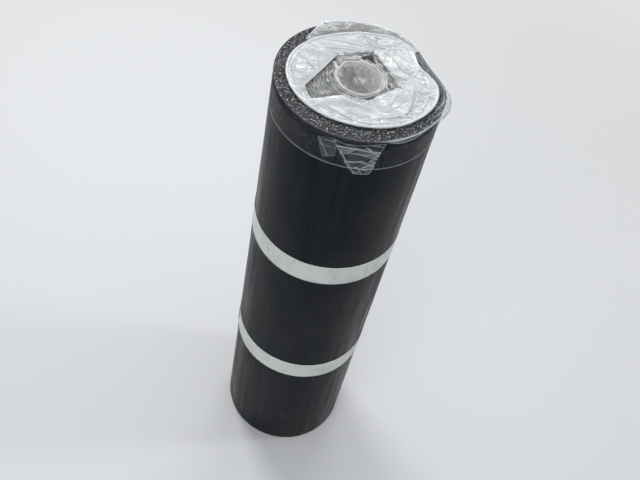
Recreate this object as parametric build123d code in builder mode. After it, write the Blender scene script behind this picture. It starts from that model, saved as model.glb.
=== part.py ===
from build123d import *

# A roll of roofing felt standing on its end. Millimetres, +Z up.
# The origin is in the middle of the lower end, and -Y is the side that faces the viewer.
# Angles are in degrees, anticlockwise from +X as seen from above.

import os
from math import ceil, cos, pi, radians, sin

# Card tube that the felt is wound on
tube_bore_radius = 32.0
tube_wall = 5.5
tube_fit = 0.2  # clearance all round between the tube and the felt

# Felt sheet and how it is wound
felt_width = 1000.0  # the height of the roll as it stands
felt_thickness = 4.9
turn_slack = 0.25  # air between one turn and the next
turns = 19
tail_angle = 125.0  # where the sheet's outer end lies
first_gap = 0.25  # turns from the sheet's inner end to where the gap between turns begins
groove_width = 1.0  # the rounded edges of two turns, side by side on the roll's ends
groove_depth = 2.0

# The flat pressed into one side of the roll
dent_angle = 35.0
dent_half_angle = 35.0
dent_depth = 15.0  # at the outside; it fades to nothing at the tube

# Clear tape round the upper end, folded in over the rim
tape_thickness = 0.5
tape_drop = 57.0
tape_fold = 26.0

# Milky film over the upper end
film_thickness = 0.5  # the single sheet that covers the whole end and the tube's mouth
film_folds = 0.9  # the sheet's corners, folded in over it
film_margin = 16.0  # how far the film's edge lies inside the rim
film_hem = 5.0  # width of the rolled edge
film_hem_height = 3.0
film_ring_radius = 38.0  # middle of the bunched film round the tube's mouth
film_ring = 6.0  # its width
film_ring_height = 2.4

# What the folded corners leave clear in the middle, where the turns show through the single sheet
clear_middle = [
    (-76.0, -53.0),
    (-49.0, 11.0),
    (-42.0, 34.0),
    (9.0, 60.0),
    (60.0, -6.0),
    (19.0, -48.0),
    (-48.0, -65.0),
    (-62.0, -73.0),
]

# The film's loose edge at the back, lying out over the rim: radius past the rim, and angle
loose_edge = [
    (-24.0, 146.0),
    (14.0, 120.0),
    (-2.0, 110.0),
    (5.0, 99.0),
    (5.0, 86.0),
    (9.0, 70.0),
    (1.0, 58.0),
    (-24.0, 52.0),
]

# Two loose tape ends on the front. Their corners are at X, and at a height from the rim
wide_end = [(-16.0, -7.0), (59.0, -3.0), (46.0, -61.0), (24.0, -63.0)]
narrow_end = [(-39.0, -13.0), (-17.0, -6.0), (-17.0, -40.0), (-26.0, -45.0)]

# White bands that hold the roll shut
band_width = 50.0
band_thickness = 0.4
band_heights = {"upper_band": 670.0, "lower_band": 330.0}  # their middles
band_joint = {"upper_band": 150.0, "lower_band": 172.0}  # angle where each overlaps itself
band_overlap = 22.0  # in degrees

pitch = felt_thickness + turn_slack
felt_bore_radius = tube_bore_radius + tube_wall + tube_fit
roll_radius = felt_bore_radius + turns * pitch
seat = 0.1  # space between the felt and what is wrapped round it
bridge = 12.0  # degrees behind the sheet's outer end before a wrap touches the felt again
turns_shown = ceil(film_margin / pitch)  # turns of the gap on the upper end, outside the film
outline_arcs = 24  # arcs round the outside
groove_arcs = 8  # arcs in each turn of the groove


def dented(radius, angle):
    """The radius less its share of the flat, which is none at the tube and all at the outside."""
    away = min(abs((angle - dent_angle + 180) % 360 - 180), dent_half_angle)
    depth = dent_depth * (1 + cos(pi * away / dent_half_angle)) / 2
    return radius - depth * (radius - felt_bore_radius) / (roll_radius - felt_bore_radius)


def polar(radius, angle):
    return (radius * cos(radians(angle)), radius * sin(radians(angle)))


def arcs_through(points):
    """Arcs that each take three points in a row, and start where the one before ends."""
    return [Edge.make_three_point_arc(*points[i : i + 3]) for i in range(0, len(points) - 2, 2)]


def wound_arcs(first_turn, last_turn, count, outward=0.0):
    """Arcs along the sheet's outer face, from one count of turns to another counted from the tube."""
    points = []
    for i in range(2 * count + 1):
        turn = first_turn + (last_turn - first_turn) * i / (2 * count)
        angle = tail_angle + 360 * (turn - turns)
        points.append(polar(dented(felt_bore_radius + turn * pitch, angle) + outward, angle))
    return arcs_through(points)


def wrap_arcs(outward):
    """The outside, so far out from the felt, from where a wrap touches it to the sheet's outer end."""
    return wound_arcs(turns - 1 + bridge / 360, turns, outline_arcs, outward)


def wrap_outline(outward):
    """A closed outline round the felt, with a straight bridge behind the sheet's outer end."""
    arcs = wrap_arcs(outward)
    return [*arcs, Edge.make_line(arcs[-1] @ 1, arcs[0] @ 0)]


def film_outline(margin):
    """A closed outline on the upper end, so far in from the rim."""
    angles = [180 * i / outline_arcs for i in range(2 * outline_arcs + 1)]
    return arcs_through([polar(dented(roll_radius - margin, angle), angle) for angle in angles])


def ring(outer, inner):
    """The flat ring between two closed outlines."""
    with BuildSketch() as between:
        make_face(outer)
        make_face(inner, mode=Mode.SUBTRACT)
    return between.sketch


def wrap_ring(inside, thickness):
    """The section of what is wrapped round the roll, so far out from the felt and so thick."""
    return ring(wrap_outline(inside + thickness), wrap_outline(inside))


def groove(first_turn):
    """The spiral gap between the turns, from one count of turns to where the last turn covers it."""
    count = round((turns - 1 - first_turn) * groove_arcs)
    inner = wound_arcs(first_turn, turns - 1, count, -groove_width / 2)
    outer = wound_arcs(first_turn, turns - 1, count, groove_width / 2)
    ends = [Edge.make_line(inner[0] @ 0, outer[0] @ 0), Edge.make_line(inner[-1] @ 1, outer[-1] @ 1)]
    return [*inner, *outer, *ends]


# Felt roll: the last turn's outline with the step of its outer end, a round bore, and the gap
# between the turns as a spiral groove. The lower end is bare, so its groove has all the turns.
# On the upper end the film hides the inner ones.
with BuildPart() as felt_roll:
    with BuildSketch():
        last_turn = [*wound_arcs(turns - 1, turns - 1 + bridge / 360, 1), *wrap_arcs(0)]
        make_face([*last_turn, Edge.make_line(last_turn[-1] @ 1, last_turn[0] @ 0)])
        Circle(felt_bore_radius, mode=Mode.SUBTRACT)
    extrude(amount=felt_width)
    with BuildSketch():
        make_face(groove(first_gap))
    extrude(amount=groove_depth, mode=Mode.SUBTRACT)
    with BuildSketch(Plane.XY.offset(felt_width - groove_depth)):
        make_face(groove(turns - 1 - turns_shown))
    extrude(amount=groove_depth, mode=Mode.SUBTRACT)

# Card tube
with BuildPart() as core_tube:
    with BuildSketch():
        Circle(tube_bore_radius + tube_wall)
        Circle(tube_bore_radius, mode=Mode.SUBTRACT)
    extrude(amount=felt_width)

# Clear tape: a belt round the upper end, and its fold on the end itself
with BuildPart() as rim_tape:
    with BuildSketch(Plane.XY.offset(felt_width - tape_drop)):
        add(wrap_ring(seat, tape_thickness))
    extrude(amount=tape_drop)
    with BuildSketch(Plane.XY.offset(felt_width)):
        add(ring(wrap_outline(seat + tape_thickness), film_outline(tape_fold)))
    extrude(amount=tape_thickness)

# Milky film: a sheet over the whole end, with one loose edge out over the rim at the back,
# its corners folded in round a clear middle, a rolled hem and a bunched ring round the tube's mouth
film_seat = felt_width + tape_thickness
with BuildPart() as end_film:
    with BuildSketch(Plane.XY.offset(film_seat)):
        make_face(film_outline(film_margin))
        with BuildLine():
            corners = [polar(roll_radius + past_rim, angle) for past_rim, angle in loose_edge]
            Polyline(*corners[:2])
            Spline(*corners[1:-1])
            Polyline(corners[-2], corners[-1], corners[0])
        make_face()
    extrude(amount=film_thickness)
    with BuildSketch(Plane.XY.offset(film_seat + film_thickness)):
        make_face(film_outline(film_margin))
        with BuildLine():
            Polyline(*clear_middle, close=True)
        make_face(mode=Mode.SUBTRACT)
    extrude(amount=film_folds)
    with BuildSketch(Plane.XY.offset(film_seat)):
        add(ring(film_outline(film_margin), film_outline(film_margin + film_hem)))
    extrude(amount=film_hem_height)
    with BuildSketch(Plane.XY.offset(film_seat)):
        Circle(film_ring_radius + film_ring / 2)
        Circle(film_ring_radius - film_ring / 2, mode=Mode.SUBTRACT)
    extrude(amount=film_ring_height)


def tape_end(corners):
    """A loose end of tape against the front of the belt, with its corners as seen from the front."""
    with BuildPart() as end:
        with BuildSketch():
            add(wrap_ring(seat + tape_thickness, tape_thickness))
        extrude(amount=felt_width)
        with BuildSketch(Plane.XZ):
            with BuildLine():
                Polyline(*[(x, felt_width + height) for x, height in corners], close=True)
            make_face()
        extrude(amount=2 * roll_radius, mode=Mode.INTERSECT)
    return end


def band(middle, joint):
    """A flat band round the roll, whose outer end lies over its own start."""
    with BuildPart() as strap:
        with BuildSketch(Plane.XY.offset(middle - band_width / 2)):
            add(wrap_ring(seat, band_thickness))
        extrude(amount=band_width)
        with BuildSketch(Plane.XY.offset(middle - band_width / 2)):
            add(wrap_ring(seat + band_thickness, band_thickness))
            with BuildLine():
                far = [polar(2 * roll_radius, angle) for angle in (joint, joint + band_overlap)]
                Polyline((0, 0), *far, close=True)
            make_face(mode=Mode.INTERSECT)
        extrude(amount=band_width)
    return strap


nodes = {
    "felt_roll": felt_roll,
    "core_tube": core_tube,
    "rim_tape": rim_tape,
    "end_film": end_film,
    "wide_tape_end": tape_end(wide_end),
    "narrow_tape_end": tape_end(narrow_end),
}
for name, middle in band_heights.items():
    nodes[name] = band(middle, band_joint[name])

os.makedirs("parts", exist_ok=True)
for name, built in nodes.items():
    built.part.label = name
    export_step(built.part, f"parts/{name}.step")
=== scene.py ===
import bmesh
import bpy
import numpy as np
from mathutils import Matrix, Vector


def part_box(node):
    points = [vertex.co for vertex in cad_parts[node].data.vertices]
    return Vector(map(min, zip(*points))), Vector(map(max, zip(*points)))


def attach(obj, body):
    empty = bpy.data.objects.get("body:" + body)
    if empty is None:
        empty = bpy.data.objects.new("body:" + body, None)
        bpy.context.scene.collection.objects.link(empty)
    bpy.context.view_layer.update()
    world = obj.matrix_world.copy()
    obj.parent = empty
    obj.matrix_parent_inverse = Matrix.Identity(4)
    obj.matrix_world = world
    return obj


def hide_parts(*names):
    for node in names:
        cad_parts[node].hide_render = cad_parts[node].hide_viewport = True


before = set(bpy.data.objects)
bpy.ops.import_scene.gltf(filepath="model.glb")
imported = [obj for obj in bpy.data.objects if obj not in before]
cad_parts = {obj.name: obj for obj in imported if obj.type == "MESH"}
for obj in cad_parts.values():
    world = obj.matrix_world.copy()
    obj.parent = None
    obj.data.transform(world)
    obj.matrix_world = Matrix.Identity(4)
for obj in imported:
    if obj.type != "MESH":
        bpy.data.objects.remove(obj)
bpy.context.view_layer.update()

# A roll of roofing felt on its end. Metres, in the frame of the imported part: +Z up, the viewer
# at -Y. Angles are in degrees, anticlockwise from +X as seen from above.

felt_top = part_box("felt_roll")[1].z
tube_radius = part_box("core_tube")[1].x
tape_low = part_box("rim_tape")[0].z

# How the felt is wound
turns = 19
pitch = 0.00515
felt_bore = tube_radius + 0.0002
roll_radius = felt_bore + turns * pitch
tail_angle = 125.0
bridge = 12.0  # degrees behind the sheet's outer end before a wrap touches the felt again

# The flat pressed into one side of the roll
dent_angle = 35.0
dent_half_angle = 35.0
dent_depth = 0.015

# Tube
tube_bore = 0.032
seam_lead = 0.16  # height of one turn of the paper strip's seam

# Tape round the rim
tape_fold = 0.026
tape_lift = 0.00035  # its middle, out from the felt
tape_thickness = 0.00014
flap_thickness = 0.00018
belt_rows, fold_rows = 38, 26  # rows of its grid down the side, and in over the end

# Film over the end
film_level = felt_top + 0.0011  # the single sheet
fold_level = felt_top + 0.0028  # the folded corners over it
lowest_film = felt_top + 0.0006
sheet_thickness = 0.00016
fold_thickness = 0.00022
hem_radius = 0.0021
ring_radius = 0.0370  # middle of the bunched film round the tube's mouth
mouth_slack = 0.0065  # how far the single sheet hangs into the tube's mouth
loose_from, loose_to = 50, 149  # angles between which it is loose

# The film's rolled edge: angle and radius
film_edge = [
    (0, 0.1210), (8, 0.1215), (20, 0.1125), (27, 0.1040), (33, 0.1015), (40, 0.1035), (50, 0.1145),
    (62, 0.1215), (75, 0.1180), (90, 0.1095), (111, 0.1030), (131, 0.1020), (147, 0.1060),
    (165, 0.1105), (180, 0.1130), (200, 0.1135), (225, 0.1110), (250, 0.1080), (270, 0.1065),
    (290, 0.1080), (315, 0.1120), (335, 0.1170), (352, 0.1210),
]

# The single sheet's loose edge at the back, out over the rim
loose_edge = [
    (-0.098, 0.056), (-0.095, 0.064), (-0.0748, 0.1295), (-0.060, 0.1240), (-0.046, 0.1250),
    (-0.030, 0.1360), (-0.010, 0.1375), (0.009, 0.1395), (0.030, 0.1380), (0.047, 0.1310),
    (0.060, 0.1240), (0.073, 0.1150), (0.079, 0.0960), (0.083, 0.0800),
]

# What the folded corners leave clear in the middle
clear_middle = [
    (-0.076, -0.053), (-0.051, 0.010), (-0.042, 0.034), (-0.021, 0.047), (0.009, 0.0645),
    (0.045, 0.021), (0.060, -0.006), (0.037, -0.029), (0.019, -0.047), (-0.019, -0.048),
    (-0.048, -0.065), (-0.062, -0.073),
]

# A corner of film that lies over the right half of the tube's mouth
tongue = [
    (-0.020, 0.030), (-0.010, 0.013), (0.017, -0.026), (0.030, -0.029), (0.041, -0.010), (0.041, 0.012),
    (0.027, 0.033), (0.004, 0.042),
]

# Tape ends on the front: their corners at X, and at a height from the rim
wide_end = [
    (-0.016, -0.007), (0.004, -0.0085), (0.030, -0.0045), (0.059, -0.003), (0.0545, -0.018),
    (0.0505, -0.034), (0.0500, -0.047), (0.0465, -0.0615), (0.035, -0.0625), (0.0235, -0.0635),
    (0.006, -0.040), (-0.004, -0.025),
]
narrow_end = [
    (-0.039, -0.013), (-0.028, -0.0095), (-0.012, -0.005), (-0.010, -0.020), (-0.009, -0.037),
    (-0.018, -0.0405), (-0.026, -0.045), (-0.0315, -0.031),
]

# White bands
band_heights = {"upper_band": 0.670, "lower_band": 0.330}
band_joint = {"upper_band": 150.0, "lower_band": 172.0}  # angle where each overlaps itself
band_overlap = 22.0  # in degrees
band_width = 0.050
band_thickness = 0.00032


# Shapes as formulas on arrays of points

def smooth(x, start, end):
    """0 before start, 1 after end, and a soft step between."""
    share = np.clip((x - start) / (end - start), 0, 1)
    return share * share * (3 - 2 * share)


def hump(x, spread):
    """1 at nought, and a soft fall to nothing on both sides of it."""
    return np.exp(-((x / spread) ** 2))


def turned(angle, middle):
    """The angle from a middle one, from -180 to 180."""
    return (angle - middle + 180) % 360 - 180


def dent_share(angle):
    """The share that the dent takes off the felt's build-up at each angle."""
    away = np.minimum(np.abs(turned(angle, dent_angle)), dent_half_angle)
    return dent_depth * (1 + np.cos(np.pi * away / dent_half_angle)) / 2 / (roll_radius - felt_bore)


def dented(radius, angle):
    """The radius less its share of the flat, which is none at the tube and all at the outside."""
    return radius - dent_share(angle) * (radius - felt_bore)


def wrapped(angle):
    """How far out a wrap round the felt lies, with a bridge over the step of the sheet's end."""
    past = (angle - tail_angle) % 360
    lowest = roll_radius - pitch * (1 - bridge / 360)
    wound = roll_radius - pitch * (1 - past / 360)
    return dented(np.where(past < bridge, roll_radius + (lowest - roll_radius) * past / bridge, wound), angle)


def polar(radius, angle, height):
    """Points from radius, angle in degrees and height."""
    turn = np.radians(angle)
    radius, turn, height = np.broadcast_arrays(radius, turn, height)
    return np.stack([radius * np.cos(turn), radius * np.sin(turn), height], -1)


def waves(x, y, seed, count, shortest, longest):
    """A soft uneven surface about 1 high: plane waves of random direction and length."""
    draw = np.random.default_rng(seed)
    total = np.zeros(np.broadcast(x, y).shape)
    for _ in range(count):
        turn, start = draw.uniform(0, 2 * np.pi, 2)
        length = np.exp(draw.uniform(np.log(shortest), np.log(longest)))
        total += np.sin(2 * np.pi * (x * np.cos(turn) + y * np.sin(turn)) / length + start)
    return total / np.sqrt(count)


def near_line(x, y, line):
    """The distance from each point to a line of straight stretches, and whether it lies on its left."""
    nearest = np.full(np.broadcast(x, y).shape, np.inf)
    left = np.zeros(nearest.shape, bool)
    for (start_x, start_y), (end_x, end_y) in zip(line, line[1:]):
        run_x, run_y = end_x - start_x, end_y - start_y
        from_x, from_y = x - start_x, y - start_y
        along = np.clip((from_x * run_x + from_y * run_y) / (run_x * run_x + run_y * run_y), 0, 1)
        away = np.hypot(from_x - along * run_x, from_y - along * run_y)
        left = np.where(away < nearest, run_x * from_y - run_y * from_x > 0, left)
        nearest = np.minimum(nearest, away)
    return nearest, left


def creases(x, y, lines):
    """Chosen creases: each is a line, its height, and how far it reaches on its left and its right."""
    total = np.zeros(np.broadcast(x, y).shape)
    for line, height, left_reach, right_reach in lines:
        away, left = near_line(x, y, line)
        total += height * np.exp(-away / np.where(left, left_reach, right_reach))
    return total


def crumple(x, y, seed, count, low, high, length, width, height, lean=None):
    """Many creases at random places between two corners, each with one sharp side and one gentle
    side. Lean is the middle of their directions."""
    draw = np.random.default_rng(seed)
    total = np.zeros(np.broadcast(x, y).shape)
    for _ in range(count):
        from_x, from_y = x - draw.uniform(low[0], high[0]), y - draw.uniform(low[1], high[1])
        turn = draw.uniform(0, 2 * np.pi) if lean is None else lean + draw.normal() * 0.35
        half = draw.uniform(*length) / 2
        wide = draw.uniform(*width)
        tall = draw.normal() * height
        along = from_x * np.cos(turn) + from_y * np.sin(turn)
        across = from_y * np.cos(turn) - from_x * np.sin(turn)
        reach = wide * np.where(across > 0, 0.6, 2.2)
        total += tall * np.exp(-np.abs(across) / reach) * np.clip(1 - (along / half) ** 2, 0, 1)
    return total


def fold_whitening_and_shade(height, full, least, step=1):
    """Where a sheet's folds whiten it and where they are shaded: 1 where a point of the grid stands full or
    more above the mean of the points a few steps away, partly the whitening of creased film and partly
    painted highlight, and down to least where it lies below, which is painted shade. The grid's columns
    close."""
    padded = np.pad(height, ((step, step), (0, 0)), "edge")
    beside = np.roll(height, step, 1) + np.roll(height, -step, 1)
    above = height - (padded[2 * step :] + padded[: -2 * step] + beside) / 4
    return np.clip(above / full, least, 1)


def within(x, y, corners):
    """How far inside a convex outline each point lies; its corners go anticlockwise."""
    inside = np.full(np.broadcast(x, y).shape, np.inf)
    for (start_x, start_y), (end_x, end_y) in zip(corners, corners[1:] + corners[:1]):
        run_x, run_y = end_x - start_x, end_y - start_y
        across = (run_x * (y - start_y) - run_y * (x - start_x)) / np.hypot(run_x, run_y)
        inside = np.minimum(inside, across)
    return inside


def outline_radius(points, angle):
    """The radius of a closed outline round the origin at each angle."""
    ray_x, ray_y = np.cos(np.radians(angle)), np.sin(np.radians(angle))
    radius = np.zeros(np.shape(angle))
    for (start_x, start_y), (end_x, end_y) in zip(points, points[1:] + points[:1]):
        before, after = start_x * ray_y - start_y * ray_x, end_x * ray_y - end_y * ray_x
        across = start_x * end_y - start_y * end_x
        turning = ray_x * (end_y - start_y) - ray_y * (end_x - start_x)
        hit = (before * after <= 0) & (np.abs(turning) > 1e-12)
        found = np.where(hit, across / np.where(hit, turning, 1), 0)
        radius = np.maximum(radius, found)
    return radius


def edge_radius(angle):
    """The radius of the film's rolled edge at each angle, softened between its points."""
    at, out = zip(*film_edge)
    spread = [-6, -3, 0, 3, 6]
    return sum(np.interp(angle + step, at, out, period=360) for step in spread) / len(spread)


# Meshes from grids of points

def grid_faces(rows, columns, closed):
    """The faces of a grid of points; closed joins its last column to its first."""
    across = columns if closed else columns - 1
    i, j = np.meshgrid(np.arange(rows - 1), np.arange(across), indexing="ij")
    after = (j + 1) % columns
    quads = [i * columns + j, i * columns + after, (i + 1) * columns + after, (i + 1) * columns + j]
    return np.stack(quads, -1).reshape(-1, 4).tolist()


def weld(mesh, distance):
    """Joins the points that are nearer than a distance, and turns all faces outward."""
    work = bmesh.new()
    work.from_mesh(mesh)
    bmesh.ops.remove_doubles(work, verts=work.verts, dist=distance)
    bmesh.ops.dissolve_degenerate(work, edges=work.edges, dist=1e-6)
    bmesh.ops.recalc_face_normals(work, faces=work.faces)
    work.to_mesh(mesh)
    work.free()


def add_mesh(name, points, faces, layers_and_painted_light=None, slots=None, weld_at=None):
    """A smooth mesh object. The layers given are how many sheets of film or tape lie over each other at each
    point, with painted highlight added where folds stand up and painted shade taken off where they lie
    low, and slots is the number of each face's material."""
    mesh = bpy.data.meshes.new(name)
    mesh.from_pydata(points.reshape(-1, 3).tolist(), [], faces)
    if layers_and_painted_light is not None:
        mesh.attributes.new("layers_and_painted_light", "FLOAT", "POINT").data.foreach_set("value", layers_and_painted_light.ravel())
    if slots is not None:
        mesh.polygons.foreach_set("material_index", np.array(slots, np.int32))
    if weld_at is not None:
        weld(mesh, weld_at)
    mesh.shade_smooth()
    made = bpy.data.objects.new(name, mesh)
    bpy.context.scene.collection.objects.link(made)
    return made


def add_grid(name, points, closed=True, layers_and_painted_light=None, slots=None):
    """A mesh object from a grid of points; closed joins its last column to its first."""
    return add_mesh(name, points, grid_faces(*points.shape[:2], closed), layers_and_painted_light, slots)


def thicken(piece, thickness):
    """Gives a sheet its thickness, half to each side."""
    shell = piece.modifiers.new("thickness", "SOLIDIFY")
    shell.thickness = thickness
    shell.offset = 0
    return piece


def place(piece, slot, materials, *nodes):
    """Gives a piece its materials, and puts it on the frame in place of the nodes it stands for."""
    for material in materials:
        piece.data.materials.append(material)
    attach(piece, "root")
    if nodes:
        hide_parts(*nodes)


# Materials

def new_material(name, color, roughness, specular):
    """A material and its Principled shader, with the numbers that are the same all over set on it."""
    material = bpy.data.materials.new(name)
    material.use_nodes = True
    shader = material.node_tree.nodes["Principled BSDF"]
    shader.inputs["Base Color"].default_value = (*color, 1)
    shader.inputs["Roughness"].default_value = roughness
    shader.inputs["Specular IOR Level"].default_value = specular
    return material, shader


def noise(material, scale, detail=3.0, stretch=(1, 1, 1), roughness=0.5):
    """A noise pattern in the part's own frame, scale in waves for each metre."""
    nodes, links = material.node_tree.nodes, material.node_tree.links
    coordinates = nodes.new("ShaderNodeTexCoord")
    mapping = nodes.new("ShaderNodeMapping")
    mapping.inputs["Scale"].default_value = stretch
    pattern = nodes.new("ShaderNodeTexNoise")
    pattern.inputs["Scale"].default_value = scale
    pattern.inputs["Detail"].default_value = detail
    pattern.inputs["Roughness"].default_value = roughness
    links.new(coordinates.outputs["Object"], mapping.inputs["Vector"])
    links.new(mapping.outputs["Vector"], pattern.inputs["Vector"])
    return pattern.outputs["Fac"]


def remap(material, value, low, high, to_low, to_high):
    """A value that goes from to_low to to_high while another goes from low to high."""
    node = material.node_tree.nodes.new("ShaderNodeMapRange")
    material.node_tree.links.new(value, node.inputs["Value"])
    for name, number in (("From Min", low), ("From Max", high), ("To Min", to_low), ("To Max", to_high)):
        node.inputs[name].default_value = number
    return node.outputs["Result"]


def combine(material, kind, first, second):
    """Two values added, multiplied and so on, each a number or another node's value."""
    node = material.node_tree.nodes.new("ShaderNodeMath")
    node.operation = kind
    for socket, value in zip(node.inputs, (first, second)):
        if isinstance(value, (int, float)):
            socket.default_value = value
        else:
            material.node_tree.links.new(value, socket)
    return node.outputs["Value"]


def mix_color(material, share, first, second):
    """A mix of two colours, each a plain colour or another mix."""
    node = material.node_tree.nodes.new("ShaderNodeMix")
    node.data_type = "RGBA"
    for name, value in (("A", first), ("B", second)):
        socket = [s for s in node.inputs if s.name == name and s.type == "RGBA"][0]
        if isinstance(value, tuple):
            socket.default_value = (*value, 1)
        else:
            material.node_tree.links.new(value, socket)
    material.node_tree.links.new(share, node.inputs["Factor"])
    return [s for s in node.outputs if s.type == "RGBA"][0]


def tint(material, color, pattern, low, high, most, other):
    """A colour that turns into another, up to a share of most, while the pattern goes from low to high."""
    return mix_color(material, remap(material, pattern, low, high, 0, most), color, other)


def bump(material, shader, height, distance, strength):
    """Fine relief that is as high as a distance where the height pattern is 1."""
    node = material.node_tree.nodes.new("ShaderNodeBump")
    node.inputs["Distance"].default_value = distance
    node.inputs["Strength"].default_value = strength
    material.node_tree.links.new(height, node.inputs["Height"])
    material.node_tree.links.new(node.outputs["Normal"], shader.inputs["Normal"])


def felt_side_material():
    """Bitumen under its thin outer film: blue-black, with faint streaks along the roll and dust."""
    material, shader = new_material("felt_side", (0.007, 0.009, 0.012), 0.4, 0.08)
    links = material.node_tree.links
    streaks = noise(material, 60, 4, (1, 1, 0.08))
    dust = noise(material, 14, 5)
    specks = noise(material, 700, 2)
    color = tint(material, (0.005, 0.007, 0.0095), streaks, 0.35, 0.7, 1, (0.010, 0.013, 0.0165))
    color = tint(material, color, dust, 0.50, 0.75, 0.22, (0.045, 0.047, 0.048))
    color = tint(material, color, specks, 0.66, 0.74, 0.4, (0.060, 0.062, 0.063))
    links.new(color, shader.inputs["Base Color"])
    links.new(remap(material, streaks, 0.35, 0.7, 0.26, 0.50), shader.inputs["Roughness"])
    bump(material, shader, noise(material, 150, 4, (1, 1, 0.35)), 0.0007, 0.6)
    return material


def felt_end_material():
    """The cut edges of the turns: black bitumen with pale mineral grains pressed into it."""
    material, shader = new_material("felt_end", (0.018, 0.019, 0.021), 0.7, 0.16)
    links = material.node_tree.links
    patches = noise(material, 45, 4)
    grains = noise(material, 420, 3, roughness=0.7)
    color = tint(material, (0.009, 0.010, 0.012), patches, 0.35, 0.7, 1, (0.022, 0.024, 0.026))
    color = tint(material, color, grains, 0.56, 0.70, 0.50, (0.13, 0.135, 0.14))
    links.new(color, shader.inputs["Base Color"])
    links.new(remap(material, grains, 0.4, 0.65, 0.5, 0.85), shader.inputs["Roughness"])
    bump(material, shader, grains, 0.0009, 0.9)
    return material


def card_material():
    """Grey-brown winding card, fibrous and a little stained."""
    material, shader = new_material("card", (0.30, 0.245, 0.18), 0.85, 0.2)
    links = material.node_tree.links
    fibres = noise(material, 240, 4, (1, 1, 0.25))
    stains = noise(material, 22, 3)
    color = tint(material, (0.25, 0.20, 0.145), fibres, 0.3, 0.7, 1, (0.38, 0.315, 0.24))
    color = tint(material, color, stains, 0.5, 0.75, 0.5, (0.17, 0.135, 0.10))
    links.new(color, shader.inputs["Base Color"])
    bump(material, shader, fibres, 0.0004, 0.5)
    return material


def sheet_material(name, color, cover, grain_waves, grain_from, grain_to, grain_layers, relief):
    """Thin plastic that hides more the more layers lie over each other, painted highlight and shade among
    them, uneven in soft patches.
    Its grains grow from nothing to all their layers between two values of a noise pattern."""
    material, shader = new_material(name, color, 0.16, 0.5)
    layers_and_painted_light = material.node_tree.nodes.new("ShaderNodeAttribute")
    layers_and_painted_light.attribute_name = "layers_and_painted_light"
    cloudy = noise(material, 38, 3)
    fine = noise(material, grain_waves, 4)
    patchy = remap(material, cloudy, 0.3, 0.7, 0.82, 1.18)
    uneven = combine(material, "MULTIPLY", layers_and_painted_light.outputs["Fac"], patchy)
    grains = remap(material, fine, grain_from, grain_to, 0, grain_layers)
    depth = combine(material, "ADD", uneven, grains)
    hidden = combine(material, "SUBTRACT", 1.0, combine(material, "POWER", 1.0 - cover, depth))
    material.node_tree.links.new(hidden, shader.inputs["Alpha"])
    bump(material, shader, fine, relief, 0.5)
    return material


def band_material():
    """White woven plastic strap, plain, with faint cross creases and a little dirt."""
    material, shader = new_material("white_band", (0.70, 0.71, 0.70), 0.45, 0.4)
    links = material.node_tree.links
    dirt = noise(material, 30, 5)
    rub = noise(material, 160, 4, (1, 1, 0.3))
    color = tint(material, (0.70, 0.71, 0.70), dirt, 0.5, 0.8, 0.6, (0.44, 0.44, 0.43))
    color = tint(material, color, rub, 0.6, 0.75, 0.5, (0.36, 0.37, 0.37))
    links.new(color, shader.inputs["Base Color"])
    links.new(remap(material, rub, 0.3, 0.7, 0.36, 0.58), shader.inputs["Roughness"])
    bump(material, shader, noise(material, 420, 3, (1, 1, 0.5)), 0.0003, 0.5)
    return material


felt_side = felt_side_material()
felt_end = felt_end_material()
card = card_material()
# name, colour, cover of one layer, grains' waves a metre, where they grow, their layers, relief
milky = sheet_material("milky_film", (0.735, 0.750, 0.760), 0.22, 150, 0.48, 0.66, 0.25, 0.0004)
clear = sheet_material("clear_tape", (0.55, 0.57, 0.59), 0.05, 260, 0.48, 0.66, 0.15, 0.0007)
gritty = sheet_material("gritty_tape", (0.46, 0.48, 0.50), 0.05, 270, 0.52, 0.62, 4.8, 0.0016)
white = band_material()


# Felt: the turns' rounded edges on both ends as one spiral strip each, the outside, the step of
# the sheet's outer end, and the wall round the tube

turn_stations = 120
side_rows = 60
groove_depth = 0.003
edge_profile = [
    # place across the sheet, depth below the end
    (0.00, groove_depth), (0.05, 0.0012), (0.14, 0.00035), (0.30, 0.0), (0.50, 0.0), (0.70, 0.0),
    (0.86, 0.00035), (0.95, 0.0012), (1.00, groove_depth),
]


def felt_end_points(turn, seed, shallow):
    """The strip of one end: how deep each point lies is its third number. The gaps of the outer
    turns can be shallow, where grit and tape fill them."""
    angle = tail_angle + 360 * turn
    inner = felt_bore + np.maximum(turn - 1, 0) * pitch
    outer = felt_bore + turn * pitch
    across = np.array([place for place, _ in edge_profile])
    depth = np.array([deep for _, deep in edge_profile])
    radius = dented(inner[:, None] + (outer - inner)[:, None] * across, angle[:, None])
    # whole turns stand a little in or out, and each one wanders as it goes round
    stand = 0.00045 + 0.00030 * waves(turn, 0, seed, 9, 0.9, 3.5)
    stand = np.clip(stand, 0, 0.0013)
    ragged = 0.00012 * waves(angle * 0.7, turn * 37, seed + 1, 12, 3, 14)
    ragged = ragged + 0.0003 * shallow * waves(angle, turn * 61, seed + 2, 16, 1.5, 6)
    low = np.clip(stand + ragged, 0, 0.0015)
    filled = 1 - shallow * smooth(turn, turns - 6, turns - 4)
    deep = depth * filled[:, None] + low[:, None] * (depth < groove_depth)
    return polar(radius, angle[:, None], deep)


def wall(low, high):
    """Rows of points from a line on the lower end straight up to its like on the upper end."""
    share = np.linspace(0, 1, side_rows)[:, None, None]
    return low[None] * (1 - share) + high[None] * share


def pressed(outside):
    """The outside with faint hollows, which fade out towards both ends."""
    height = outside[..., 2]
    round_it = np.arctan2(outside[..., 1], outside[..., 0]) * roll_radius
    inward = 0.00016 * (1 + waves(round_it, height * 0.35, 31, 14, 0.02, 0.12))
    inward = inward * smooth(height, 0.003, 0.02) * (1 - smooth(height, felt_top - 0.02, felt_top - 0.003))
    inward[:, [0, -1]] = 0
    outside[..., :2] *= (1 - inward / roll_radius)[..., None]
    return outside


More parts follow.
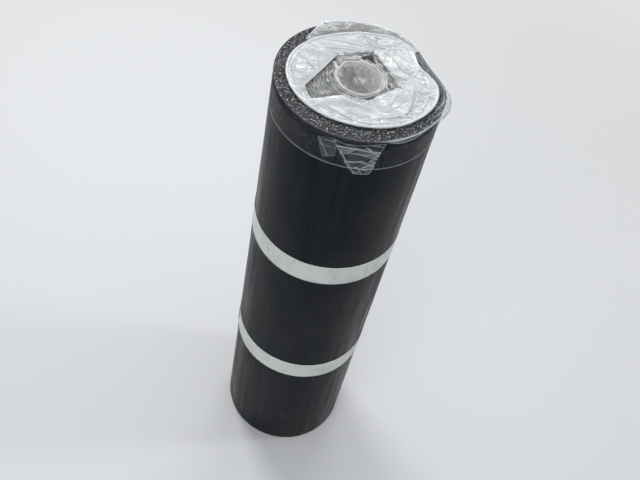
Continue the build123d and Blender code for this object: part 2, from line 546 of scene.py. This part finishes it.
def felt_coil():
    """The whole felt as one closed mesh: both ends, the outside, the step and the bore."""
    turn = np.linspace(0, turns, turns * turn_stations + 1)
    upper = felt_end_points(turn, 11, 0.92)
    lower = felt_end_points(turn, 23, 0.0)
    upper[..., 2] = felt_top - upper[..., 2]
    lower[..., 2] = np.where(lower[..., 2] < 0.0002, 0.0, lower[..., 2])

    first, last = slice(0, turn_stations + 1), slice((turns - 1) * turn_stations, None)
    outside = pressed(wall(lower[last, -1], upper[last, -1]))
    step = wall(lower[-1], upper[-1])
    bore = wall(lower[first, 0], upper[first, 0])

    points, faces, slots = [], [], []
    for grid, slot in ((upper, 0), (lower, 0), (outside, 1), (step, 0), (bore, 1)):
        start = sum(len(part) for part in points)
        quads = np.array(grid_faces(*grid.shape[:2], False)) + start
        points.append(grid.reshape(-1, 3))
        faces += quads.tolist()
        slots += [slot] * len(quads)
    return add_mesh("felt_coil", np.concatenate(points), faces, slots=slots, weld_at=3e-6)


place(felt_coil(), "felt", [felt_end, felt_side], "felt_roll")


# Card tube, its wall turning with the seam of the paper strip it is wound from

rim_profile = [
    # place across the wall, depth below the end, share of the frayed edge
    (0.06, 0.00025, 0.5), (0.2, 0.0001, 1), (0.5, 0.0, 1), (0.8, 0.0001, 1), (0.94, 0.00025, 0.5),
]


def card_tube():
    """The tube as one ring of rows: up its bore, over the upper end, down outside and back below."""
    columns, rows = 144, 70
    angle = np.arange(columns) * 360 / columns
    height = np.linspace(0.0006, felt_top - 0.0006, rows)[:, None]
    twist = angle + 360 * height / seam_lead
    from_seam = np.minimum(angle, 360 - angle)
    inner = polar(tube_bore + 0.0007 * np.exp(-from_seam / 2.2), twist, height)
    outer = polar(np.full_like(twist, tube_radius), twist, height)
    fray = 0.0002 * (1 + waves(angle, 0, 41, 10, 6, 40))
    wall_thickness = tube_radius - tube_bore
    top_rim, low_rim = [
        np.array([
            polar(tube_bore + wall_thickness * share, base, end + inward * (deep + fray * frayed))
            for share, deep, frayed in rim_profile
        ])
        for end, inward, base in ((felt_top, -1, twist[-1]), (0.0, 1, twist[0]))
    ]
    low_rim[..., 2] = np.maximum(low_rim[..., 2], 0)
    loop = np.concatenate([inner, top_rim, outer[::-1], low_rim[::-1]])
    loop = np.concatenate([loop, loop[:1]])
    return add_mesh("card_tube", loop, grid_faces(len(loop), columns, True), weld_at=2e-6)


place(card_tube(), "card", [card], "core_tube")


# Clear tape: the belt, the turn over the rim and the fold on the end, as one crinkled sheet

belt_scuffs = [
    # line as metres round the roll and from the rim, height, reach on its left, reach on its right
    ([(0.760, -0.031), (0.770, -0.021)], 0.0009, 0.0007, 0.0020),
    ([(0.770, -0.035), (0.776, -0.027)], 0.0007, 0.0007, 0.0016),
    ([(0.744, -0.036), (0.751, -0.031)], 0.0006, 0.0007, 0.0016),
    ([(0.788, -0.026), (0.793, -0.012)], 0.0007, 0.0007, 0.0020),
    ([(0.566, -0.030), (0.578, -0.026)], 0.0006, 0.0007, 0.0018),
]


def rim_rows():
    """The tape's section: for each row how far out and up it lies, which way it faces, and the run of
    tape from the rim's corner, which is negative on the side."""
    corner = 0.0010
    rows = [(tape_lift, run, 1, 0, run) for run in np.linspace(tape_low - felt_top, -0.0012, belt_rows)]
    for turn in np.radians((30, 60)):
        out, up = np.cos(turn), np.sin(turn)
        rows.append((tape_lift - corner * (1 - out), tape_lift - corner * (1 - up), out, up, 0.0))
    rows += [(-run, tape_lift, 0, 1, run) for run in np.linspace(0.0012, tape_fold, fold_rows)]
    return np.array(rows).T[:, :, None]


def rim_wrinkles(round_it, run):
    """How far the tape's small wrinkles and scuffs stand out."""
    low, high = (0, -0.06), (0.84, 0.03)
    rough = crumple(round_it, run, 51, 420, low, high, (0.008, 0.05), (0.0008, 0.0022), 0.00035)
    gentle = 0.00012 * waves(round_it, run, 52, 14, 0.012, 0.06)
    scuffed = creases(*np.broadcast_arrays(round_it, run), belt_scuffs)
    return np.maximum(rough * np.where(run < 0, 0.3, 0.5) + gentle + scuffed, -0.00025)


def rim_wrap():
    """The whole tape, with what is gathered outside the rim and the strands along its edges."""
    columns = 640
    angle = np.arange(columns) * 360 / columns
    round_it = np.radians(angle) * roll_radius
    row_out, row_up, facing_out, facing_up, run = rim_rows()
    on_side = run < 0

    # tape gathered in pleats outside the rim on the right
    gathered = hump(turned(angle, -7), 13)
    bulge = np.where(on_side, smooth(run, -0.026, -0.002), 1 - smooth(run, 0.0, 0.014))
    pleats = np.maximum(np.sin(2 * np.pi * (run * 0.8 + round_it * 0.12) / 0.0048), 0)
    # its edge, a strand along the rim's corner that leaves it on the front
    rim_line = hump(run, 0.0012)
    lower = 0.0062 * np.clip(1 - (turned(angle, -49) / 15) ** 2, 0, 1)
    strand = smooth(turned(angle, -20), -50, -36) * (1 - smooth(turned(angle, -20), 24, 38))
    strand = strand * np.maximum(rim_line, 0.7 * hump(run + lower, 0.0013))
    # two layers' edges across the dent
    at_dent = smooth(turned(angle, dent_angle), -28, -20) * (1 - smooth(turned(angle, dent_angle), 20, 28))
    edges = at_dent * (hump(run - 0.004, 0.0010) + hump(run - 0.009, 0.0010))
    hem = hump(run - (tape_low - felt_top), 0.0014)

    lift = rim_wrinkles(round_it, run)
    lift = lift + 0.0014 * gathered * bulge * pleats + 0.0013 * strand + 0.0009 * edges + 0.0003 * hem
    radius = wrapped(angle) + row_out + facing_out * lift + 0.0068 * gathered * bulge
    points = polar(radius, angle, felt_top + row_up + facing_up * lift)

    layers_and_painted_light = np.where(on_side, 0.2, 0.05)
    # the wrinkles' raised ridges whiten, partly as creased tape and partly as painted highlight, and their
    # hollows get painted shade
    layers_and_painted_light = layers_and_painted_light + 4.0 * fold_whitening_and_shade(lift, 0.00012, -0.1) * np.where(on_side, 0.5, 1)
    layers_and_painted_light = layers_and_painted_light + 8.0 * hem + 1.6 * rim_line + 14 * strand + 9 * edges
    layers_and_painted_light = np.maximum(layers_and_painted_light + 7 * gathered * bulge * (0.4 + pleats), 0.1)
    on_end = np.arange(len(run) - 1) > belt_rows
    wrap = add_grid("rim_wrap", points, layers_and_painted_light=layers_and_painted_light, slots=np.repeat(on_end, columns))
    return thicken(wrap, tape_thickness)


place(rim_wrap(), "clear_tape", [clear, gritty], "rim_tape")


# Milky film: folded corners over a single sheet on the end, with a corner over the tube's mouth

film_overlaps = [
    # the corners of each place where the folded film lies double
    [(-0.096, -0.055), (-0.065, -0.093), (-0.038, -0.069), (-0.048, -0.064), (-0.076, -0.052)],
    [(0.002, -0.059), (0.043, -0.076), (0.079, -0.053), (0.082, -0.030), (0.072, 0.002), (0.038, -0.030)],
    [(0.045, 0.056), (0.084, 0.030), (0.098, 0.050), (0.070, 0.090), (0.040, 0.092), (0.018, 0.072)],
    [(-0.060, 0.047), (-0.009, 0.053), (-0.012, 0.073), (-0.037, 0.077), (-0.070, 0.067)],
    [(-0.110, -0.010), (-0.099, 0.019), (-0.070, -0.005), (-0.078, -0.050), (-0.096, -0.052)],
    [(0.084, 0.040), (0.074, 0.020), (0.084, 0.000), (0.120, -0.010), (0.118, 0.012), (0.100, 0.036)],
]

fold_creases = [
    # line, height, reach on its left, reach on its right
    ([(-0.099, 0.019), (-0.084, 0.005), (-0.070, -0.005)], -0.0011, 0.0010, 0.0050),
    ([(-0.104, 0.040), (-0.086, 0.022)], 0.0007, 0.0008, 0.0060),
    ([(-0.060, 0.047), (-0.040, 0.055), (-0.020, 0.059), (-0.009, 0.053)], 0.0017, 0.0060, 0.0011),
    ([(-0.070, 0.067), (-0.037, 0.073), (-0.012, 0.073)], 0.0016, 0.0070, 0.0012),
    ([(-0.085, 0.052), (-0.055, 0.080), (-0.020, 0.093)], 0.0011, 0.0012, 0.0050),
    ([(-0.022, 0.096), (0.011, 0.083), (0.035, 0.081), (0.049, 0.084)], 0.0018, 0.0050, 0.0012),
    ([(0.018, 0.070), (0.050, 0.073), (0.078, 0.060)], 0.0014, 0.0013, 0.0040),
    ([(-0.065, -0.093), (-0.038, -0.069), (-0.012, -0.058)], 0.0018, 0.0014, 0.0060),
    ([(-0.088, -0.060), (-0.066, -0.078)], 0.0010, 0.0040, 0.0011),
    ([(0.002, -0.059), (0.022, -0.065), (0.043, -0.076)], 0.0018, 0.0012, 0.0060),
    ([(-0.030, -0.082), (0.010, -0.096), (0.050, -0.092)], 0.0010, 0.0060, 0.0014),
    ([(0.049, -0.047), (0.054, -0.030), (0.062, -0.016), (0.072, 0.002)], 0.0016, 0.0012, 0.0050),
    (
        [(0.036, -0.084), (0.070, -0.062), (0.079, -0.053), (0.082, -0.030), (0.081, 0.005)],
        0.0014, 0.0050, 0.0012,
    ),
    ([(0.084, 0.045), (0.074, 0.020), (0.090, -0.008), (0.104, -0.020)], 0.0015, 0.0012, 0.0040),
    ([(0.045, 0.058), (0.060, 0.040), (0.085, 0.030)], 0.0015, 0.0040, 0.0011),
    ([(0.060, 0.012), (0.084, 0.016), (0.108, 0.004)], 0.0013, 0.0012, 0.0045),
    # a fan of soft pleats from the left side of the hem
    ([(-0.107, 0.012), (-0.092, 0.007), (-0.076, 0.006)], 0.0004, 0.0016, 0.0050),
    ([(-0.108, -0.004), (-0.092, -0.006), (-0.078, -0.004)], 0.0005, 0.0018, 0.0055),
    ([(-0.107, -0.019), (-0.090, -0.020), (-0.080, -0.016)], 0.0004, 0.0016, 0.0050),
    ([(-0.104, -0.033), (-0.090, -0.032)], 0.0005, 0.0018, 0.0055),
    ([(-0.100, -0.045), (-0.084, -0.041)], 0.0004, 0.0016, 0.0045),
]


def fold_relief(x, y, angle, to_hem):
    """How far the creases, slack and gathers of the folded corners stand out."""
    busy = 0.10 + 0.90 * smooth(x, 0.012, 0.055) + 0.35 * smooth(y, 0.045, 0.090)
    low, high = (-0.125, -0.125), (0.130, 0.130)
    small = crumple(x, y, 61, 420, low, high, (0.010, 0.036), (0.0008, 0.0022), 0.0008)
    taut = 1 - smooth(x, -0.070, 0.020)
    slack = 0.0007 * waves(x, y, 62, 12, 0.030, 0.090) * (1 - 0.55 * taut)
    relief = creases(x, y, fold_creases) + small * busy + slack
    gathers = 0.0004 * waves(angle, to_hem * 900, 65, 16, 5, 18)
    gathers = gathers * np.exp(-to_hem / 0.012) * (1 - 0.65 * taut)
    return relief * (0.3 + 0.7 * smooth(to_hem, 0, 0.010)) + gathers


def hem_rows(angle):
    """The film's edge rolled over, as rows of points round it from the inside over the top."""
    sway = 0.0004 * waves(angle, 0, 63, 12, 8, 60)
    roll = hem_radius * np.clip(0.92 + 0.16 * waves(angle, 0, 67, 14, 7, 45), 0.6, 1.2)
    rows = []
    for turn in np.radians(np.linspace(150, -200, 12)):
        out = edge_radius(angle) - hem_radius + roll * np.cos(turn)
        height = np.maximum(fold_level + sway + roll * np.sin(turn), felt_top + 0.0008)
        rows.append(polar(out, angle, height))
    return rows


def film_folds():
    """The folded corners round their clear middle, with the hem rolled over along their outer edge."""
    columns, rows = 560, 66
    angle = np.arange(columns) * 360 / columns
    # the left corner and the lower right one end in a raised edge, the others fade out
    left_corner = smooth(angle, 136, 148) * (1 - smooth(angle, 214, 222))
    right_corner = smooth(angle, 298, 310) * (1 - smooth(angle, 350, 358))
    sharp = np.maximum(left_corner, 0.75 * right_corner)
    wander = 0.0012 * waves(angle, 0, 66, 10, 6, 30) * (1 - sharp)
    inner = outline_radius(clear_middle, angle) + wander
    outer = edge_radius(angle) - 1.9 * hem_radius
    radius = inner + (outer - inner) * np.linspace(0, 1, rows)[:, None] ** 1.05
    flat = polar(radius, angle, 0)
    x, y = flat[..., 0], flat[..., 1]
    inside, to_hem = radius - inner, outer - radius

    raised = (0.0042 * left_corner + 0.0022 * right_corner) * np.exp(-inside / 0.018)
    relief = fold_relief(x, y, angle, to_hem)
    doubled = sum(smooth(within(x, y, corners), 0, 0.0025) for corners in film_overlaps)
    height = np.maximum(fold_level + raised + relief + 0.0004 * doubled, film_level + 0.0006)
    flat[..., 2] = height

    layers_and_painted_light = 2.7 + 0.4 * waves(x, y, 64, 14, 0.022, 0.090) + 0.8 * doubled
    # raised folds and creases whiten, partly as creased film and partly as painted highlight, and the hollows
    # between them get painted shade; the relief's own height also paints highlight on what stands up and
    # shade on what lies low
    layers_and_painted_light = layers_and_painted_light + 2.6 * fold_whitening_and_shade(height, 0.00035, -0.15, 2)
    layers_and_painted_light = layers_and_painted_light + 3.5 * fold_whitening_and_shade(height, 0.00022, -0.07) + 1.6 * np.clip(relief / 0.0020, -0.25, 1)
    layers_and_painted_light = layers_and_painted_light * (0.35 + 0.65 * np.maximum(sharp, smooth(inside, 0, 0.009)))
    layers_and_painted_light = layers_and_painted_light + 3.0 * sharp * np.exp(-inside / 0.0012) + 1.5 * (1 - smooth(to_hem, 0, 0.004))
    hem = hem_rows(angle)
    layers_and_painted_light = np.concatenate([np.maximum(layers_and_painted_light, 0.6), np.full((len(hem), columns), 10.0)])
    return thicken(add_grid("film_folds", np.concatenate([flat, hem]), layers_and_painted_light=layers_and_painted_light), fold_thickness)


def turn_lines(x, y):
    """1 over the gaps between the felt's turns, and -1 midway between them."""
    reach, angle = np.hypot(x, y), np.degrees(np.arctan2(y, x))
    count = (reach - felt_bore) / (1 - dent_share(angle)) / pitch - (angle - tail_angle) / 360
    return np.cos(2 * np.pi * count)


thin_spots = [
    # spots where the single sheet is made nearly clear, so the dark below shows through, and how far round
    (-0.043, 0.026, 0.0030), (-0.026, 0.012, 0.0030), (-0.012, 0.019, 0.0022), (0.0445, -0.003, 0.0028),
    (0.0525, -0.009, 0.0030), (0.047, 0.009, 0.0022), (-0.056, -0.002, 0.0020), (-0.047, 0.004, 0.0018),
    (-0.040, -0.010, 0.0016), (0.030, -0.039, 0.0022),
]
torn_gap = [(-0.008, 0.045), (0.020, 0.036), (0.009, 0.062)]
knot_line = [(-0.044, 0.020), (-0.036, 0.006)]
strand_line = [(0.030, 0.024), (0.039, 0.008), (0.041, -0.006), (0.046, -0.014)]
messy_line = [(-0.034, 0.030), (-0.012, 0.046), (0.016, 0.036)]


def bunched_film(x, y, radius, angle):
    """Shares of the bunched film round the tube's mouth: the ring, how heavy it is on the left, a
    second ring outside it on the front, the knot and the strand."""
    on_left = hump(turned(angle, 190), 55)
    on_front = hump(turned(angle, 275), 45)
    ring_at = ring_radius + 0.0013 * waves(angle, 0, 71, 6, 30, 120)
    ring = hump(radius - ring_at, 0.0011 + 0.0017 * on_left)
    outer_ring = on_front * hump(radius - ring_at - 0.0042 - 0.0015 * on_front, 0.0009)
    on_left = on_left * (0.45 + 0.55 * smooth(waves(angle, 0, 78, 8, 14, 50), -0.6, 0.5))
    knot = hump(near_line(x, y, knot_line)[0], 0.0028)
    strand = hump(near_line(x, y, strand_line)[0], 0.0012)
    return ring, on_left, outer_ring, knot, strand


def slack_film(x, y, radius, angle):
    """The single sheet's dip into the tube's mouth, its gathers round that, and its small creases."""
    dip = mouth_slack * (1 - smooth(radius, 0.008, 0.034))
    gathers = 0.0002 * waves(angle, radius * 2000, 72, 14, 12, 50) * smooth(radius, 0.010, 0.026)
    gathers = gathers * (1 - smooth(radius, 0.036, 0.046))
    low, high = (-0.10, -0.085), (0.09, 0.145)
    small = crumple(x, y, 73, 260, low, high, (0.008, 0.030), (0.0006, 0.0014), 0.00030)
    return dip, gathers, small * (0.25 + 0.75 * smooth(radius, 0.026, 0.036))


def film_sheet():
    """The single sheet: slack over the tube's mouth, close on the turns, loose at the back."""
    columns, rows = 480, 96
    angle = np.arange(columns) * 360 / columns
    far = outline_radius(loose_edge + [(-0.10, -0.02), (0.0, -0.09), (0.09, 0.0)], angle)
    back = (angle > loose_from) & (angle < loose_to)
    covered = edge_radius(angle) - 2 * hem_radius
    outer = np.where(back, np.maximum(far, covered), covered)
    radius = 0.0008 + (outer - 0.0008) * np.linspace(0, 1, rows)[:, None]
    flat = polar(radius, angle, 0)
    x, y = flat[..., 0], flat[..., 1]

    ring, on_left, outer_ring, knot, strand = bunched_film(x, y, radius, angle)
    bunched = ring * (0.25 + 0.75 * on_left) + knot + 0.8 * strand + 0.35 * outer_ring
    dip, gathers, small = slack_film(x, y, radius, angle)
    # a heap of small folds behind the tube's mouth
    messy = hump(near_line(x, y, messy_line)[0], 0.008)
    low, high = (-0.050, 0.022), (0.030, 0.060)
    messy_folds = crumple(x, y, 76, 80, low, high, (0.006, 0.020), (0.0006, 0.0014), 0.0009)
    # the loose part at the back waves, and sags where it is past the rim
    loose = smooth(radius, wrapped(angle) - 0.026, wrapped(angle) - 0.006) * back
    low, high = (-0.10, 0.075), (0.09, 0.145)
    waving = crumple(x, y, 74, 80, low, high, (0.015, 0.055), (0.0010, 0.0030), 0.0015, 0.1)
    waving = waving * (0.35 + 0.65 * smooth(outer - radius, 0, 0.012))
    sag = 0.0035 * smooth(radius, wrapped(angle), wrapped(angle) + 0.012) * back

    height = film_level - dip + gathers + 0.0022 * bunched + small * 0.8
    height = height + messy * messy_folds + loose * (0.0014 + waving) - sag
    # white: raised folds whiten, partly as creased film and partly as painted highlight, and lower places get
    # painted shade
    white = fold_whitening_and_shade(height, 0.00016, -0.25)
    # the sheet lies close enough to show the felt's turns
    lines = turn_lines(x, y) * smooth(radius, 0.041, 0.045)
    height = height - 0.00012 * lines
    flat[..., 2] = np.where(radius > 0.034, np.maximum(height, lowest_film - sag), height)

    broken = np.clip(0.6 + 0.5 * waves(x, y, 75, 12, 0.006, 0.030), 0.1, 1.2)
    # fewer layers over the gaps between the felt's turns paint shade into them
    layers_and_painted_light = 0.58 - 0.32 * lines * broken + 1.1 * white + (1.0 + 2.6 * on_left) * ring + 3.4 * knot
    layers_and_painted_light = layers_and_painted_light + 1.6 * strand + 1.3 * messy * (0.5 + white) + 0.9 * outer_ring + 1.0 * loose
    on_mouth = 1 - smooth(radius, 0.026, 0.036)
    layers_and_painted_light = layers_and_painted_light + 0.22 * waves(x, y, 77, 10, 0.010, 0.040) * (1 - 0.75 * on_mouth)
    for spot_x, spot_y, spread in thin_spots:
        layers_and_painted_light = layers_and_painted_light * (1 - 0.94 * hump(np.hypot(x - spot_x, y - spot_y), spread))
    in_gap = within(x, y, torn_gap)
    layers_and_painted_light = layers_and_painted_light * (1 - 0.95 * smooth(in_gap, -0.0010, 0.0004))
    layers_and_painted_light = layers_and_painted_light + 1.0 * hump(in_gap + 0.0016, 0.0007)
    layers_and_painted_light = layers_and_painted_light + 4.0 * back * smooth(radius, outer - 0.0020, outer - 0.0004)
    layers_and_painted_light = np.maximum(layers_and_painted_light, 0.08)

    # a point in the middle closes the grid's innermost ring
    middle = np.array([[0, 0, flat[0, :, 2].mean()]])
    points = np.concatenate([flat.reshape(-1, 3), middle])
    hub = rows * columns
    faces = grid_faces(rows, columns, True) + [[hub, (j + 1) % columns, j] for j in range(columns)]
    sheet = add_mesh("film_sheet", points, faces, layers_and_painted_light=np.append(layers_and_painted_light.ravel(), layers_and_painted_light[0].mean()))
    return thicken(sheet, sheet_thickness)


def patch_grid(outline, columns, rows):
    """Points inside an outline, as rings about its middle: the share out, and x and y."""
    outline = np.array(outline)
    closed = np.concatenate([outline, outline[:1]])
    run = np.concatenate([[0], np.cumsum(np.hypot(*np.diff(closed, axis=0).T))])
    even = np.linspace(0, run[-1], columns - len(outline), endpoint=False)
    at = np.sort(np.concatenate([even, run[1:-1]]))
    edge = np.stack([np.interp(at, run, closed[:, 0]), np.interp(at, run, closed[:, 1])], -1)
    share = np.linspace(0.02, 1, rows)[:, None]
    middle = outline.mean(0)
    x = middle[0] + (edge[:, 0] - middle[0]) * share
    y = middle[1] + (edge[:, 1] - middle[1]) * share
    return share, x, y


def film_tongue():
    """A corner of film over the right half of the tube's mouth."""
    share, x, y = patch_grid(tongue, 170, 26)
    dip = 0.0056 * (1 - smooth(np.hypot(x, y), 0.010, 0.036))
    low, high = (-0.02, -0.04), (0.07, 0.05)
    small = crumple(x, y, 81, 46, low, high, (0.008, 0.03), (0.0007, 0.0016), 0.0004)
    height = film_level + 0.0008 - dip + small + 0.0010 * smooth(share, 0.9, 1.0)
    # its folds' raised ridges whiten, partly as creased film and partly as painted highlight, and their
    # hollows get painted shade
    layers_and_painted_light = 0.32 + 2.2 * smooth(share, 0.955, 1.0) + 1.2 * fold_whitening_and_shade(height, 0.00012, -0.2)
    points = np.stack([x, y, height], -1)
    return thicken(add_grid("film_tongue", points, layers_and_painted_light=np.maximum(layers_and_painted_light, 0.1)), sheet_thickness)


place(film_folds(), "milky_film", [milky], "end_film")
place(film_sheet(), "milky_film", [milky])
place(film_tongue(), "milky_film", [milky])


# Loose tape ends on the front

def tape_end(name, corners, seed, stand, fold_lines):
    """A loose end of tape against the belt, which stands off towards its lower edge."""
    share, x, drop = patch_grid(corners, 260, 34)
    outside = wrapped(np.degrees(np.arctan2(-roll_radius, x)))
    low, high = (-0.045, -0.07), (0.065, 0.0)
    small = crumple(x, drop, seed, 30, low, high, (0.018, 0.060), (0.0008, 0.0016), 0.0011, 0.1)
    folds = small + creases(x, drop, fold_lines)
    out = 0.0009 + stand * smooth(-drop, 0.008, 0.060) + np.maximum(folds, -0.0004)
    out = out + 0.0006 * smooth(share, 0.93, 1.0)
    y = -np.sqrt((outside + out) ** 2 - x ** 2)
    # the folds' raised ridges whiten, partly as creased tape and partly as painted highlight, and their
    # hollows get painted shade
    layers_and_painted_light = 1.0 + 9.0 * smooth(share, 0.962, 1.0) + 9.5 * fold_whitening_and_shade(out, 0.00016, -0.1)
    layers_and_painted_light = layers_and_painted_light + 4.0 * smooth(folds, 0.0004, 0.0020) + 3.0 * fold_whitening_and_shade(out, 0.00030, -0.2, 2)
    points = np.stack([x, y, felt_top + drop], -1)
    return thicken(add_grid(name, points, layers_and_painted_light=np.maximum(layers_and_painted_light, 0.3)), flap_thickness)


wide_folds = [
    # line, height, reach on its left, reach on its right
    ([(-0.012, -0.016), (0.020, -0.013), (0.055, -0.019)], 0.0022, 0.0012, 0.0045),
    ([(-0.004, -0.027), (0.024, -0.024), (0.052, -0.031)], 0.0019, 0.0040, 0.0011),
    ([(0.006, -0.040), (0.030, -0.036), (0.050, -0.043)], 0.0023, 0.0011, 0.0045),
    ([(0.014, -0.051), (0.044, -0.052)], 0.0018, 0.0035, 0.0010),
    ([(0.036, -0.012), (0.054, -0.024)], 0.0022, 0.0010, 0.0030),
    ([(0.044, -0.034), (0.051, -0.022)], 0.0020, 0.0010, 0.0030),
    ([(0.036, -0.046), (0.049, -0.038)], 0.0018, 0.0010, 0.0025),
    ([(-0.002, -0.024), (0.008, -0.038), (0.025, -0.061)], 0.0017, 0.0010, 0.0012),
    ([(0.012, -0.058), (0.026, -0.047), (0.034, -0.060)], 0.0012, 0.0010, 0.0025),
]
narrow_folds = [
    ([(-0.034, -0.016), (-0.020, -0.038)], 0.0014, 0.0012, 0.0040),
    ([(-0.030, -0.024), (-0.012, -0.022)], 0.0012, 0.0030, 0.0010),
]
place(tape_end("wide_flap", wide_end, 91, 0.0035, wide_folds), "clear_tape", [clear], "wide_tape_end")
place(tape_end("narrow_flap", narrow_end, 92, 0.0020, narrow_folds), "clear_tape", [clear], "narrow_tape_end")


# White bands, each one strip that overlaps its own start

def strap(name, middle, joint, seed):
    """A band round the roll, from its start at the joint once round and on over itself."""
    reach = 360 + band_overlap
    angle = joint + np.linspace(0, reach, 640)
    round_it = np.radians(angle) * roll_radius
    across = np.linspace(-0.5, 0.5, 13)[:, None]
    sway = 0.0007 * waves(round_it, 0, seed, 8, 0.12, 0.5)
    height = middle + sway + across * (band_width - 0.0016)
    pucker = 0.00009 * waves(round_it, across * 0.05, seed + 1, 16, 0.008, 0.05)
    over = smooth(angle - joint, 352, 362)
    end_lift = 0.0012 * smooth(angle - joint, reach - 3.0, reach)
    curl = 0.00012 * np.abs(across * 2) ** 3
    out = wrapped(angle) + 0.0003 + 0.00042 * over + np.maximum(pucker, -0.0001) + end_lift + curl
    return thicken(add_grid(name, polar(out, angle, height), closed=False), band_thickness)


for number, (node, middle) in enumerate(band_heights.items()):
    place(strap(node + "_strap", middle, band_joint[node], 101 + 10 * number), "white_band", [white], node)


# Floor, light and camera

backdrop_color = (0.76, 0.77, 0.78)
floor_fades = (0.9, 2.4)  # how far out the floor turns into the backdrop


def seen_rays(holder):
    """1 on rays that come from the camera, a reflection or clear film, and 0 on those that light things."""
    path = holder.node_tree.nodes.new("ShaderNodeLightPath")
    mirrored = combine(holder, "MAXIMUM", path.outputs["Is Glossy Ray"], path.outputs["Is Transmission Ray"])
    return combine(holder, "MAXIMUM", mirrored, path.outputs["Is Camera Ray"])


def mix_shaders(holder, share, first, second):
    """Two shaders' outputs mixed by a share of the second."""
    node = holder.node_tree.nodes.new("ShaderNodeMixShader")
    for socket, value in zip(node.inputs, (share, first, second)):
        holder.node_tree.links.new(value, socket)
    return node.outputs["Shader"]


def add_floor():
    """A pale floor that keeps the shadow near the roll, and further out turns into the backdrop."""
    half = 12.0
    corners = np.array([[-half, -half, 0], [half, -half, 0], [half, half, 0], [-half, half, 0]])
    floor = add_mesh("floor", corners, [[0, 1, 2, 3]])
    material, shader = new_material("floor_pale", (0.74, 0.75, 0.76), 0.9, 0.2)
    nodes, links = material.node_tree.nodes, material.node_tree.links
    coordinates = nodes.new("ShaderNodeTexCoord")
    distance = nodes.new("ShaderNodeVectorMath")
    distance.operation = "LENGTH"
    links.new(coordinates.outputs["Object"], distance.inputs[0])
    far = remap(material, distance.outputs["Value"], *floor_fades, 0, 1)
    backdrop = nodes.new("ShaderNodeEmission")
    backdrop.inputs["Color"].default_value = (*backdrop_color, 1)
    share = combine(material, "MULTIPLY", far, seen_rays(material))
    both = mix_shaders(material, share, shader.outputs["BSDF"], backdrop.outputs["Emission"])
    links.new(both, nodes["Material Output"].inputs["Surface"])
    floor.data.materials.append(material)


def add_world():
    """Soft light from all sides, and behind it the backdrop that the camera sees."""
    world = bpy.data.worlds.new("studio")
    bpy.context.scene.world = world
    world.use_nodes = True
    nodes, links = world.node_tree.nodes, world.node_tree.links
    nodes.clear()
    out = nodes.new("ShaderNodeOutputWorld")
    light = nodes.new("ShaderNodeBackground")
    light.inputs["Color"].default_value = (0.93, 0.96, 1.0, 1)
    light.inputs["Strength"].default_value = 0.34
    seen = nodes.new("ShaderNodeBackground")
    seen.inputs["Color"].default_value = (*backdrop_color, 1)
    both = mix_shaders(world, seen_rays(world), light.outputs["Background"], seen.outputs["Background"])
    links.new(both, out.inputs["Surface"])


def add_softbox(name, at, size, power):
    """A rectangle of light that faces the upper part of the roll."""
    lamp = bpy.data.lights.new(name, "AREA")
    lamp.shape = "RECTANGLE"
    lamp.size, lamp.size_y = size
    lamp.energy = power
    made = bpy.data.objects.new(name, lamp)
    made.location = at
    aim = Vector((0, 0, felt_top * 0.8)) - made.location
    made.rotation_euler = aim.to_track_quat("-Z", "Y").to_euler()
    bpy.context.scene.collection.objects.link(made)


def add_camera():
    """Where the photo's camera stood, with a longer lens, turned to the roll by the smallest turn."""
    right = Vector((0.9622, 0.2603, 0.0798))
    up = Vector((-0.2209, 0.5751, 0.7877))
    forward = Vector((-0.1592, 0.7756, -0.6108))
    eye = Vector((0, -0.946, 1.781))
    aim = Vector((0, 0, 0.60))
    focal_pixels = 800
    image_width = 640
    camera = bpy.data.cameras.new("camera")
    camera.sensor_width = 36
    camera.lens = focal_pixels / image_width * camera.sensor_width
    made = bpy.data.objects.new("camera", camera)
    as_taken = Matrix((right, up, -forward)).transposed()
    aimed = forward.rotation_difference(aim - eye).to_matrix() @ as_taken
    made.matrix_world = Matrix.Translation(eye) @ aimed.to_4x4()
    bpy.context.scene.collection.objects.link(made)
    bpy.context.scene.camera = made


add_floor()
add_world()
add_softbox("overhead", (0.0, 0.3, 3.3), (2.4, 2.4), 14)
add_softbox("key", (-1.5, 1.7, 2.4), (0.9, 0.9), 38)
add_softbox("strip", (0.1, 2.1, 2.75), (1.2, 0.30), 15)
add_softbox("front", (-0.8, -2.4, 2.2), (2.0, 2.0), 26)
add_softbox("right_strip", (1.6, 0.4, 2.1), (0.25, 1.2), 9)
add_camera()

scene = bpy.context.scene
scene.view_settings.view_transform = "Standard"
scene.cycles.transparent_max_bounces = 32
